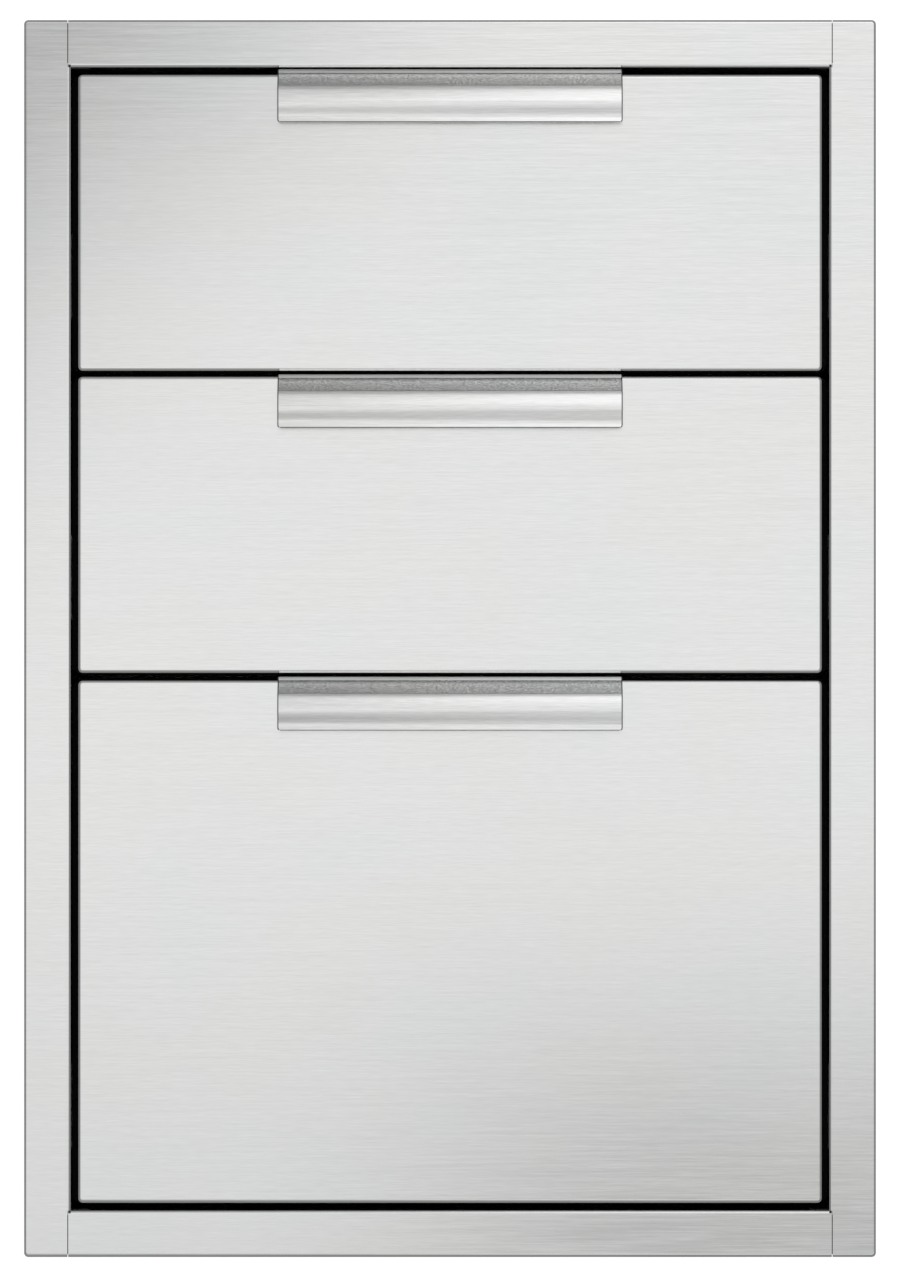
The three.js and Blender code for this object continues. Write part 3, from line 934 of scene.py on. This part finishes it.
def tray_screws(number):
    """Screws through the tray into its slides and its front."""
    low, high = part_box(f"tray_{number}")
    slide_low, slide_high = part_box(f"slide_drawer_{number}_right")
    z = (slide_low.z + slide_high.z) / 2
    bm = bmesh.new()
    for sign in SIDES.values():
        for y in SCREW_Y:
            add_turned(bm, (sign * (high.x - TRAY_SHEET), y, z), (-sign, 0, 0), SCREW_HEAD)
    for x in FRONT_SCREW_X:
        for z in (low.z + FRONT_SCREW_MARGIN, high.z - FRONT_SCREW_MARGIN):
            add_turned(bm, (x, low.y + TRAY_SHEET, z), (0, 1, 0), SCREW_HEAD)
    dress(object_from(f"tray_screws_{number}", bm), SCREW_STEEL, f"drawer_{number}", "slide_steel")


# Slides

def channel_outline(section, thickness, inward):
    """The closed section of a channel from its upper half, in millimetres."""
    path = list(section) + [(depth, -height) for depth, height in reversed(section)]
    return sheet_outline(path, thickness if inward else -thickness)


def slide_channel(name, outline, sign, middle, near, rear):
    bm = bmesh.new()
    points = [(sign * (WALL_X - depth * MM), middle + height * MM) for depth, height in outline]
    add_sweep(bm, points, near, rear)
    return object_from(name, bm)


def stadium_cutter(bm, sign, y, z, half_length, half_height):
    """A slot cutter along X with round ends."""
    straight = half_length - half_height
    rings = []
    for depth in CUTTER_DEPTHS:
        x = WALL_X - depth
        ring = []
        for end, start in ((1, -90), (-1, 90)):
            for step in range(EDGE_STEPS + 1):
                angle = math.radians(start + 180 * step / EDGE_STEPS)
                ring.append(Vector((sign * x, y + end * straight + half_height * math.cos(angle),
                                    z + half_height * math.sin(angle))))
        rings.append(ring)
    add_rings(bm, rings)


def slide_member(part, number, side, section, inward, body):
    node = f"slide_{part}_{number}_{side}"
    low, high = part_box(node)
    middle = (low.z + high.z) / 2
    outline = channel_outline(section, SLIDE_SHEET, inward)
    obj = slide_channel(f"fine_{node}", outline, SIDES[side], middle, low.y, high.y)
    bm = bmesh.new()
    for share, half_length in zip(SLOT_SHARES, SLOT_HALF_LENGTHS):
        y = low.y + (high.y - low.y) * share
        stadium_cutter(bm, SIDES[side], y, middle, half_length * MM, SLOT_HALF_HEIGHT * MM)
    dress(cut(obj, bm), SLIDE_STEEL, body, "slide_steel", node)


def cage(kind, number, side, section, ball):
    """A ball cage with windows, and its two rows of balls."""
    node = f"cage_{kind}_{number}_{side}"
    sign = SIDES[side]
    low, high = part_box(node)
    middle = (low.z + high.z) / 2
    body = f"{kind}_cages_{number}"
    outline = channel_outline(section, CAGE_SHEET, True)
    obj = slide_channel(f"fine_{node}", outline, sign, middle, low.y, high.y)
    bm = bmesh.new()
    for share in WINDOW_SHARES:
        y = low.y + (high.y - low.y) * share
        stadium_cutter(bm, sign, y, middle, WINDOW_HALF[0] * MM, WINDOW_HALF[1] * MM)
    dress(cut(obj, bm), CAGE_STEEL, body, "cage_steel", node)
    bm = bmesh.new()
    for place in range(BALL_COUNT):
        y = low.y + (high.y - low.y) * (place + 0.5) / BALL_COUNT
        for end in (-1, 1):
            where = Matrix.Translation((sign * (WALL_X - ball[0] * MM), y, middle + end * ball[1] * MM))
            bmesh.ops.create_icosphere(bm, subdivisions=2, radius=BALL_RADIUS * MM, matrix=where)
    dress(object_from(f"balls_{kind}_{number}_{side}", bm), BALL_STEEL, body, "cage_steel")


def slides(number):
    for side in SIDES:
        slide_member("cabinet", number, side, CABINET_SECTION, True, "cabinet")
        slide_member("middle", number, side, MIDDLE_SECTION, True, f"middle_members_{number}")
        slide_member("drawer", number, side, DRAWER_SECTION, False, f"drawer_{number}")
        cage("outer", number, side, OUTER_CAGE_SECTION, OUTER_BALL)
        cage("inner", number, side, INNER_CAGE_SECTION, INNER_BALL)


# Studio

def camera():
    data = bpy.data.cameras.new("camera")
    data.sensor_fit = "AUTO"
    data.sensor_width = SENSOR
    data.lens = SENSOR * CAMERA_DISTANCE / VIEW_HEIGHT
    data.clip_end = CAMERA_END
    obj = link(bpy.data.objects.new("camera", data))
    obj.location = (0, FACE_Y - CAMERA_DISTANCE, VIEW_Z)
    obj.rotation_euler = (math.pi / 2, 0, 0)
    bpy.context.scene.camera = obj


def key_pattern(tree, x, y, z):
    """Radiance of the key panel: a bright middle with two dim corners, and a brighter upper part."""
    sides = ramp(tree, calc(tree, "ABSOLUTE", x), 0.30, 1.25, 1, 0)
    upper_left = product(tree, less(tree, z, x), DIAGONAL)
    lower_right = product(tree, ramp(tree, x, -0.14, 0.14, 0, 0.39), ramp(tree, z, -0.42, -0.17, 1, 0))
    low = less(tree, KEY_LEVEL, ramp(tree, upper_left, 0.22, 0.55, 0, 0.56), lower_right,
               ramp(tree, z, -0.33, -0.06, 0.10, 0), ramp(tree, z, 0.2, 0.4, 0, 0.06))
    low = calc(tree, "MAXIMUM", low, 0.0)
    bottom = product(tree, ramp(tree, x, -0.15, 0.09, 0.08, 0.44), ramp(tree, z, -1.0, -0.7, 0.4, 1))
    low = mixed(tree, ramp(tree, z, -0.53, -0.40), bottom, low)
    slant = less(tree, x, ramp(tree, z, 0.58, 0.80, -0.04, 0.075))
    high = product(tree, ramp(tree, slant, -0.11, 0.02, 0.30, 0.90), ramp(tree, z, 0.95, 1.4, 1, 0))
    return product(tree, sides, mixed(tree, ramp(tree, z, 0.39, 0.55), low, high))


def panel(name, size, place, pattern):
    """A wide soft light that the camera doesn't see, with a strength that follows its own surface."""
    data = bpy.data.lights.new(name, "AREA")
    data.shape = "RECTANGLE"
    data.size, data.size_y = size
    data.energy = math.pi * size[0] * size[1]
    data.use_nodes = True
    tree = data.node_tree
    geometry = tree.nodes.new("ShaderNodeNewGeometry")
    where = parts_of(tree, geometry.outputs["Position"])
    strength = pattern(tree, where["X"], where["Y"], less(tree, where["Z"], VIEW_Z))
    tree.links.new(strength, tree.nodes["Emission"].inputs["Strength"])
    obj = link(bpy.data.objects.new(name, data))
    obj.location = place
    obj.visible_camera = False
    return obj


def top_pattern(tree, x, y, z):
    """Radiance of the top panel: a strip near the camera, brighter on the right, and dark elsewhere."""
    slant = less(tree, x, product(tree, total(tree, y, 1.07), 0.45))
    strip = product(tree, ramp(tree, slant, -0.14, 0.04, 0.14, 0.46), ramp(tree, y, -0.9, -0.75, 1, 0))
    return calc(tree, "MAXIMUM", less(tree, strip, ramp(tree, y, -1.06, -0.96, 0, 0.10)), 0.0)


def lights():
    key = panel("key", KEY_SIZE, (0, FACE_Y - KEY_DISTANCE, VIEW_Z + KEY_RISE), key_pattern)
    key.rotation_euler = (math.pi / 2, 0, 0)
    panel("top", TOP_SIZE, TOP_PLACE, top_pattern)


def world():
    """A dim room in front, pale at the sides and behind, and white behind the unit."""
    studio = bpy.data.worlds.new("studio")
    bpy.context.scene.world = studio
    studio.use_nodes = True
    tree = studio.node_tree
    coordinates = tree.nodes.new("ShaderNodeTexCoord")
    way = parts_of(tree, coordinates.outputs["Generated"])
    around = product(tree, ramp(tree, way["Y"], -0.3, 0.15), ramp(tree, way["Z"], 0.3, 0.7, 0.54, 0.04))
    backdrop = ramp(tree, way["Y"], 0.6, 0.98, 0, 0.25)
    front = ramp(tree, way["Y"], -0.98, -0.6, 0.2, 0)
    background = tree.nodes["Background"]
    tree.links.new(total(tree, around, backdrop, front, ROOM_LEVEL), background.inputs["Strength"])
    background.inputs["Color"].default_value = (1, 1, 1, 1)


def floor():
    """A pale disc well below the unit, which fades out towards its rim."""
    bm = bmesh.new()
    bmesh.ops.create_circle(bm, cap_ends=True, radius=FLOOR_RADIUS, segments=FLOOR_SIDES)
    obj = object_from("floor", bm)
    obj.location = FLOOR_PLACE
    material, tree, shader = new_material("floor_pale")
    shader.inputs["Base Color"].default_value = (FLOOR_TONE, FLOOR_TONE, FLOOR_TONE, 1)
    shader.inputs["Roughness"].default_value = FLOOR_ROUGHNESS
    shader.inputs["Emission Color"].default_value = (1, 1, 1, 1)
    light_path = tree.nodes.new("ShaderNodeLightPath")
    seen = calc(tree, "MAXIMUM", light_path.outputs["Is Camera Ray"], light_path.outputs["Is Glossy Ray"])
    tree.links.new(product(tree, seen, FLOOR_GLOW), shader.inputs["Emission Strength"])
    place = tree.nodes.new("ShaderNodeTexCoord")
    length = tree.nodes.new("ShaderNodeVectorMath")
    length.operation = "LENGTH"
    tree.links.new(place.outputs["Object"], length.inputs[0])
    start, end = (FLOOR_RADIUS * share for share in FLOOR_FADE)
    fade = ramp(tree, length.outputs["Value"], start, end, 1, 0)
    tree.links.new(fade, shader.inputs["Alpha"])
    obj.data.materials.append(material)


bpy.context.scene.view_settings.view_transform = "Standard"
camera()
lights()
world()
floor()

face_frame()
seam_backing()
flat_panel("floor_panel", 1)
flat_panel("ceiling_panel", -1)
back_panel()
for side, sign in SIDES.items():
    side_panel(side, sign)
box_fasteners()
for number in DRAWERS:
    front_skin(number)
    front_liner(number)
    seal(number)
    handle(number)
    tray(number)
    tray_back(number)
    tray_screws(number)
    slides(number)
